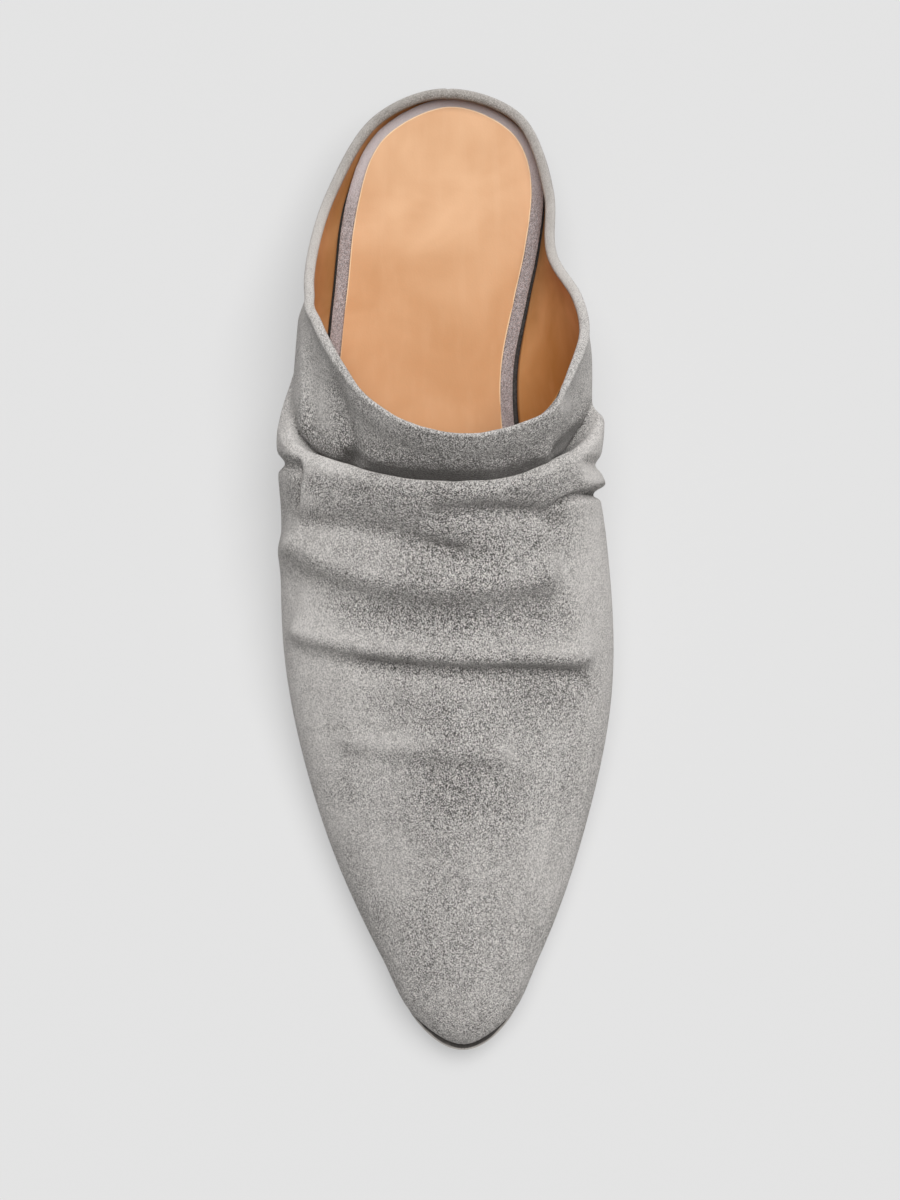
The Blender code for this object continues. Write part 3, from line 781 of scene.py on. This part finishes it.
def crease_share(cut):
    """Share of the way at which each section crosses the roll's line, evened out round the shoe."""
    trial = np.linspace(0.0, 1.0, CREASE_TRIALS)[:, None] * np.ones(len(cut.sole_x))
    points = along_walls(cut, trial)
    crossing = np.argmax(behind_roll(points[..., 0], points[..., 1]) > 0.0, axis=0) / (CREASE_TRIALS - 1.0)
    share = np.maximum(crossing, LOWEST_CREASE_SHARE)
    rounds = int(CREASE_SMOOTHINGS * (len(share) / SUEDE_COLUMNS) ** 2)
    for _ in range(rounds):
        share = (np.roll(share, 1) + 2.0 * share + np.roll(share, -1)) / 4.0
    return share


Wall = namedtuple("Wall", "points normal climb behind crease low_fade")


def wall_grid(way, rows_to_crease, rows_to_collar):
    """The upper's plain outer face before it folds. Rows go from the sole over the roll's line to the
    collar and crowd at that line, columns go round the shoe. With it come the outward normals, the
    directions of climb, the distance along each column behind the roll's line, that line's points, and how
    folds fade down the sides."""
    cut = last_sections(way)
    crease = crease_share(cut)
    to_crease = np.linspace(0.0, 1.0, rows_to_crease + 1)[:-1, None]
    to_collar = np.linspace(0.0, 1.0, rows_to_collar + 1)[:, None]
    below = crease * (1.0 - (1.0 - to_crease) ** CROWD_AT_CREASE) ** CROWD_AT_SOLE
    above = crease + (1.0 - crease) * to_collar
    points = along_walls(cut, np.concatenate([below, above]))
    climb = np.gradient(points, axis=0)
    round_shoe = np.roll(points, -1, axis=1) - np.roll(points, 1, axis=1)
    normal = np.cross(round_shoe, climb)
    normal /= np.linalg.norm(normal, axis=-1, keepdims=True)
    climb /= np.linalg.norm(climb, axis=-1, keepdims=True)
    steps = np.linalg.norm(np.diff(points, axis=0), axis=-1)
    length = np.concatenate([np.zeros((1, len(crease))), np.cumsum(steps, axis=0)])
    behind = length - length[rows_to_crease]
    line = points[rows_to_crease]
    low_fade = smooth_step(FOLD_FADE_LOW_Z, FOLD_FADE_HIGH_Z, points[..., 2])
    return Wall(points, normal, climb, behind, line, low_fade)


def hump(at, middle, toe_width, heel_width):
    """A bell of height 1 at middle, with its own width on each side."""
    away = at - middle
    return np.exp(-((away / np.where(away < 0.0, toe_width, heel_width)) ** 2))


def draped(away, toe_width, heel_width):
    """A draped fold of height 1: round at its crest, a steep fall to the toe, and to the heel a long fall
    that is steepest next to the crest."""
    heel_side = np.exp((FOLD_ROUND - np.hypot(away, FOLD_ROUND)) / heel_width)
    return np.where(away < 0.0, hump(away, 0.0, toe_width, heel_width), heel_side)


def wrinkle_reach(wrinkle, x, y):
    """Signed distance of points in plan from a wrinkle's curve, above zero on its heel side, and a factor
    that fades out past its ends. The curve is the parabola through the three places, in short chords."""
    share = np.linspace(0.0, 1.0, WRINKLE_STEPS)[:, None]
    ends = np.array([[wrinkle.x0, wrinkle.y0], [wrinkle.x2, wrinkle.y2]])
    pull = 2.0 * np.array([wrinkle.x1, wrinkle.y1]) - ends.mean(axis=0)
    curve = (1.0 - share) ** 2 * ends[0] + 2.0 * share * (1.0 - share) * pull + share**2 * ends[1]
    nearest = np.full(x.shape, np.inf)
    side = np.ones(x.shape)
    past = np.zeros(x.shape)
    for number, (start, end) in enumerate(zip(curve[:-1], curve[1:])):
        chord = end - start
        to_x, to_y = x - start[0], y - start[1]
        along = (to_x * chord[0] + to_y * chord[1]) / (chord @ chord)
        on = np.clip(along, 0.0, 1.0)
        away = np.hypot(to_x - on * chord[0], to_y - on * chord[1])
        closer = away < nearest
        nearest = np.where(closer, away, nearest)
        side = np.where(closer, chord[0] * to_y - chord[1] * to_x, side)
        past = np.where(closer, (number + on) / (WRINKLE_STEPS - 1.0), past)
    length = np.linalg.norm(np.diff(curve, axis=0), axis=1).sum()
    end_share = min(WRINKLE_END / length, WRINKLE_END_MOST)
    fade = smooth_step(0.0, end_share, past) * smooth_step(1.0, 1.0 - end_share, past)
    return nearest * np.sign(side), fade


def wrinkled(wall, points, wrinkles, spread=1.0):
    """How far the wrinkles move each point along the normal, with their widths multiplied by spread."""
    out = np.zeros(points.shape[:2])
    for wrinkle in wrinkles:
        away, fade = wrinkle_reach(wrinkle, points[..., 0], points[..., 1])
        sign = -1.0 if wrinkle.part == "vamp" else 1.0
        fade = fade * smooth_step(-PART_FADE, PART_FADE, sign * wall.behind) * wall.low_fade
        widths = spread * wrinkle.toe_width, spread * wrinkle.heel_width
        form = draped(away, *widths) if wrinkle.height > 0.0 else hump(away, 0.0, *widths)
        out += wrinkle.height * fade * form
    return out


def hold(wall, outer_end_y, inner_end_y):
    """How the roll or its crease holds: fully across the foot, fading down the sides and to the heel."""
    x, y = wall.crease[:, 0], wall.crease[:, 1]
    ended = np.where(x < 0.0, smooth_step(*outer_end_y, y), smooth_step(*inner_end_y, y))
    return wall.low_fade * (1.0 - ended)


def hidden_form(wall):
    """Points of the wall as the leather behind the face lies: under the crease and every trough, with no
    overhang."""
    troughs = [wrinkle for wrinkle in WRINKLES if wrinkle.height < 0.0]
    out = wrinkled(wall, wall.points, troughs, HIDDEN_SPREAD)
    crease = hump(wall.behind, CREASE_AT, HIDDEN_CREASE_WIDTH, HIDDEN_CREASE_WIDTH)
    out -= HIDDEN_CREASE_DEPTH * crease * hold(wall, CREASE_END_OUTER_Y, CREASE_END_INNER_Y)
    return wall.points + wall.normal * out[..., None]


def front_of_collar(wall):
    """1 on the columns that end at the front of the throat, fading to 0 along its sides."""
    return 1.0 - smooth_step(FRONT_RIM_Y, SIDE_RIM_Y, wall.points[-1, :, 1])


def slouched(wall):
    """The suede's outer face. Across the roll's line each column leans to the heel by a bell that drops
    within two millimetres, so the roll hangs over the crease, and it stands out by a second bell, both in
    the directions of the vamp before the roll. The wrinkles then move it along the normal, it swells below
    the front of the collar and at its sides, and the edge at the sole is tucked in. Returns the points,
    and the painted shade in each hollow and on the band where it goes in under the roll."""
    before = hump(wall.behind, VAMP_BEFORE_ROLL, VAMP_BEFORE_ROLL_WIDTH, VAMP_BEFORE_ROLL_WIDTH)[..., None]
    vamp_normal, vamp_climb = ((before * way).sum(axis=0) for way in (wall.normal, wall.climb))
    vamp_normal /= np.linalg.norm(vamp_normal, axis=-1, keepdims=True)
    vamp_climb /= np.linalg.norm(vamp_climb, axis=-1, keepdims=True)
    across = wall.crease[:, 0]
    lean, lift, toe_width = (np.interp(across, *np.array(ROLL)[:, [0, at]].T) for at in (1, 2, 3))
    crease_hold = hold(wall, CREASE_END_OUTER_Y, CREASE_END_INNER_Y)
    roll_hold = hold(wall, ROLL_END_OUTER_Y, ROLL_END_INNER_Y)
    crease = hump(wall.behind, CREASE_AT, CREASE_TOE_WIDTH, CREASE_HEEL_WIDTH) * crease_hold
    leaning = lean * hump(wall.behind, LEAN_AT, LEAN_TOE_WIDTH, LEAN_HEEL_WIDTH) * crease_hold
    standing = lift * hump(wall.behind, LIFT_AT, toe_width, LIFT_HEEL_WIDTH) * roll_hold
    standing -= CREASE_DEPTH * crease
    points = wall.points + vamp_climb * leaning[..., None] + vamp_normal * standing[..., None]
    out = wrinkled(wall, points, WRINKLES)
    # Painted shade: darker in each trough by its depth, and on the band where it goes in under the roll.
    past_shade = np.maximum(wall.behind - CREASE_SHADE_TO, 0.0) / CREASE_SHADE_WIDTH
    shade = smooth_step(*CREASE_SHADE_FROM, wall.behind) * np.exp(-past_shade) * crease_hold
    tone = PAINTED_SHADE_IN_HOLLOWS * np.minimum(out, 0.0) - CREASE_SHADE * shade
    below_collar = wall.behind - wall.behind[-1]
    swelling = hump(below_collar, COLLAR_SWELL_AT, COLLAR_SWELL_WIDTH, COLLAR_SWELL_WIDTH)
    out = out + COLLAR_SWELL * swelling * front_of_collar(wall)
    proud = hump(below_collar, 0.0, COLLAR_PROUD_WIDTH, COLLAR_PROUD_WIDTH)
    out = out + COLLAR_PROUD * proud * (1.0 - front_of_collar(wall))
    climbed = wall.behind - wall.behind[0]
    out = out - TUCK_DEPTH * (1.0 - np.clip(climbed / TUCK_REACH, 0.0, 1.0)) ** 2
    at_back = wall.points[..., 1] > SEAM_FROM_Y
    seam = hump(wall.points[..., 0], SEAM_X, SEAM_WIDTH, SEAM_WIDTH) * at_back
    return points + wall.normal * (out - SEAM_DEPTH * seam)[..., None], tone


def turned_collar(edge, normal, climb, radius):
    """Rows over the collar: a half circle from the outer face to the inside, then the turned margin down."""
    turn = np.linspace(0.0, np.pi, COLLAR_ROUND_ROWS)[1:, None, None]
    centre = edge - normal * radius
    over = centre + radius * (normal * np.cos(turn) + climb * np.sin(turn))
    down = np.array(COLLAR_MARGIN_SHARES)[:, None, None] * COLLAR_MARGIN
    return np.concatenate([over, over[-1] - climb * down], axis=0)


def painted_light_and_nap(points):
    """Painted shade and light at each point of a closed grid, standing for the light from above the heel:
    darker where the face tips to the toe and paler where it tips to the heel or a side. The listed spots then
    lighten or darken it."""
    down = np.roll(points, -1, axis=0) - np.roll(points, 1, axis=0)
    along = np.roll(points, -1, axis=1) - np.roll(points, 1, axis=1)
    facing = np.cross(down, along)
    to_heel = facing[..., 1] / np.linalg.norm(facing, axis=-1)
    tone = PAINTED_LIGHT_BY_FACING * np.clip(to_heel - PAINTED_LIGHT_EVEN_TIP, PAINTED_SHADE_DARKEST, PAINTED_LIGHT_PALEST)
    for place in NAP_AND_SHADE_SPOTS:
        away_x = (points[..., 0] - place.x) / place.reach_x
        away_y = (points[..., 1] - place.y) / place.reach_y
        tone += place.tone * np.exp(-(away_x**2) - away_y**2)
    return tone


def shell_rings(outer_face, inner_face):
    """Rings of a closed wall: up its inner face and down its outer face, as columns round the shoe."""
    return np.concatenate([inner_face, outer_face[::-1]], axis=0)


even = np.arange(SUEDE_COLUMNS) / SUEDE_COLUMNS
at_seam = np.linspace(-SEAM_REACH, SEAM_REACH, SEAM_COLUMNS)
away_from_seam = np.minimum(even, 1.0 - even) > SEAM_CLEAR
way = np.sort(np.concatenate([even[away_from_seam], at_seam % 1.0]))
wall = wall_grid(way, ROWS_TO_CREASE, ROWS_TO_COLLAR)
outer_face, tone = slouched(wall)
radius = COLLAR_RADIUS_HEEL + (COLLAR_RADIUS_FRONT - COLLAR_RADIUS_HEEL) * front_of_collar(wall)[:, None]
collar = turned_collar(outer_face[-1], wall.normal[-1], wall.climb[-1], radius)
top_drop = COLLAR_MARGIN * smooth_step(COLLAR_MARGIN_FROM, 0.0, wall.behind - wall.behind[-1])
back_face = hidden_form(wall) - wall.normal * SUEDE_DEPTH - wall.climb * top_drop[..., None]
back_face = back_face[::BACK_FACE_STEP]
rings = shell_rings(np.concatenate([outer_face, collar], axis=0), back_face)
tone = np.pad(tone, ((0, len(collar)), (0, 0)))
# The nap attribute: painted shade and light by the way each face tips, the listed spots, and painted shade in
# hollows and under the roll.
nap = painted_light_and_nap(rings) + shell_rings(tone, np.zeros(back_face.shape[:2]))
worn = smooth_step(WORN_FROM_Y, WORN_TO_Y, rings[..., 1])
upper = rings_piece("upper_suede", rings, ends="joined", nap=nap, worn=worn)
brushed_suede = suede("brushed_grey_suede", shade="#363330", body="#AFABA8", tip="#EFEBE7", sheen=0.65)
upper.data.materials.append(brushed_suede)
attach(upper, "root")
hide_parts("upper")


# Lining: thin tan leather that covers the inside of the upper from the sole to the collar. Its edge is
# skived thin there and sewn to the turned suede.
LINING_DEPTH = 1.45
LINING_THICKNESS = 0.7
LINING_SKIVED = 0.15
LINING_SKIVED_FROM = -5.0
LINING_COLUMNS = 260
LINING_ROWS_TO_CREASE = 46
LINING_ROWS_TO_COLLAR = 24
LINING_BELOW_COLLAR = 1.8
LINING_BELOW_FRONT = 3.4
LINING_BELOW_FROM = -12.0
# Painted shade on the lining: darker towards the toe, where the collar shades it.
LINING_SHADED_FROM_Y = 66.0
LINING_SHADED_TO_Y = 44.0

wall = wall_grid(np.arange(LINING_COLUMNS) / LINING_COLUMNS, LINING_ROWS_TO_CREASE, LINING_ROWS_TO_COLLAR)
front = front_of_collar(wall)
shift = -LINING_BELOW_COLLAR - (LINING_BELOW_FRONT - LINING_BELOW_COLLAR) * front
below_collar = wall.behind - wall.behind[-1]
near_collar = smooth_step(LINING_BELOW_FROM, 0.0, below_collar)
form = hidden_form(wall) + wall.climb * (near_collar * shift)[..., None]
outer_face = form - wall.normal * LINING_DEPTH
skived = 1.0 - (1.0 - LINING_SKIVED) * smooth_step(LINING_SKIVED_FROM, 0.0, below_collar)
inner_face = form - wall.normal * (LINING_DEPTH + LINING_THICKNESS * skived)[..., None]
lining = rings_piece("lining_leather", shell_rings(outer_face, inner_face), ends="joined")
leather = smooth_leather(
    "tan_lining_leather",
    deep="#C48648",
    body="#F0B47C",
    pale="#F2BE8A",
    roughness=0.55,
    shaded_from=LINING_SHADED_FROM_Y,
    shaded_to=LINING_SHADED_TO_Y,
)
lining.data.materials.append(leather)
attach(lining, "root")


# Floor, light and camera: a pale light table that is wide enough to fill the view from any side, a soft
# light from above the heel, weak fill from all round, and a long lens that looks straight down with the
# toe at the bottom.
FLOOR_SIZE = 120000.0
FLOOR_COLOUR = "#A0A0A0"
FLOOR_GLOW = 0.383
FILL_COLOUR = "#FFFFFF"
FILL_STRENGTH = 0.185
KEY_STRENGTH = 2.95
KEY_SPREAD = 40.0
KEY_FROM = (0.12, 0.26, 1.0)
CAMERA_AT = (0.9, -7.7, 1500.0)
FRAME_HEIGHT = 340.1
SENSOR = 36.0
FARTHEST_VIEW = 200.0

corners = np.array([(-1, -1, 0), (1, -1, 0), (1, 1, 0), (-1, 1, 0)]) * FLOOR_SIZE / 2.0 * MM
floor_mesh = bpy.data.meshes.new("floor")
floor_mesh.from_pydata(corners.tolist(), [], [(0, 1, 2, 3)])
floor = bpy.data.objects.new("floor", floor_mesh)
bpy.context.scene.collection.objects.link(floor)
glow = {"Emission Color": linear("#FFFFFF"), "Emission Strength": FLOOR_GLOW}
paper, _ = new_material("pale_light_table", {"Base Color": linear(FLOOR_COLOUR), "Roughness": 1.0, **glow})
floor.data.materials.append(paper)

world = bpy.data.worlds.new("studio_fill")
world.use_nodes = True
background = world.node_tree.nodes["Background"]
background.inputs["Color"].default_value = linear(FILL_COLOUR)
background.inputs["Strength"].default_value = FILL_STRENGTH
bpy.context.scene.world = world

key = bpy.data.lights.new("wide_key", "SUN")
key.energy = KEY_STRENGTH
key.angle = np.radians(KEY_SPREAD)
key_light = bpy.data.objects.new("wide_key", key)
key_light.rotation_euler = Vector(KEY_FROM).to_track_quat("Z", "Y").to_euler()
bpy.context.scene.collection.objects.link(key_light)

camera_data = bpy.data.cameras.new("camera")
camera_data.sensor_width = SENSOR
camera_data.lens = SENSOR * CAMERA_AT[2] / FRAME_HEIGHT
camera_data.clip_end = FARTHEST_VIEW
camera = bpy.data.objects.new("camera", camera_data)
camera.location = np.array(CAMERA_AT) * MM
bpy.context.scene.collection.objects.link(camera)
bpy.context.scene.camera = camera
bpy.context.scene.view_settings.view_transform = "Standard"
